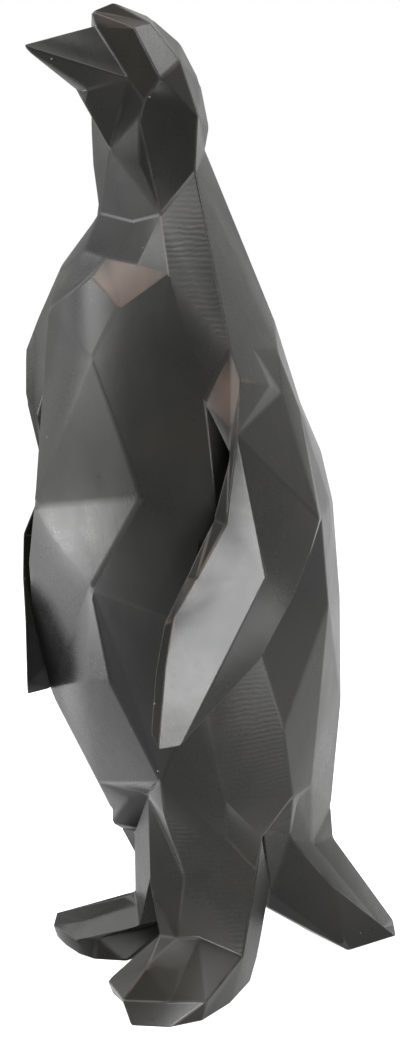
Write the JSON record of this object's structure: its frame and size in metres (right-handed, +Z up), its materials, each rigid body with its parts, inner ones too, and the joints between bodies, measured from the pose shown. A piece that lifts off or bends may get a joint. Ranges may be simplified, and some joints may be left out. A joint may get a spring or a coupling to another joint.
{
  "type": "penguin figurine",
  "caption": "Standing penguin figurine cast in faceted planes, hollow body, free-hanging flippers, webbed feet and a wedge tail, in dark satin paint.",
  "frame": {"origin": "centre of the bounding box's base, on the surface that the figurine stands on", "axes": "+Z up, the penguin faces -Y, its own left side is +X, its tail is towards +Y"},
  "size_m": [0.17, 0.184, 0.3996],
  "materials": {
    "satin_paint": "satin",
    "plug_resin": "matt"
  },
  "bodies": {
    "root": {"body": "satin_paint", "head": "satin_paint", "left_flipper": "satin_paint", "right_flipper": "satin_paint", "left_leg": "satin_paint", "right_leg": "satin_paint", "tail": "satin_paint", "filler_plug": "plug_resin"}
  },
  "joints": []
}
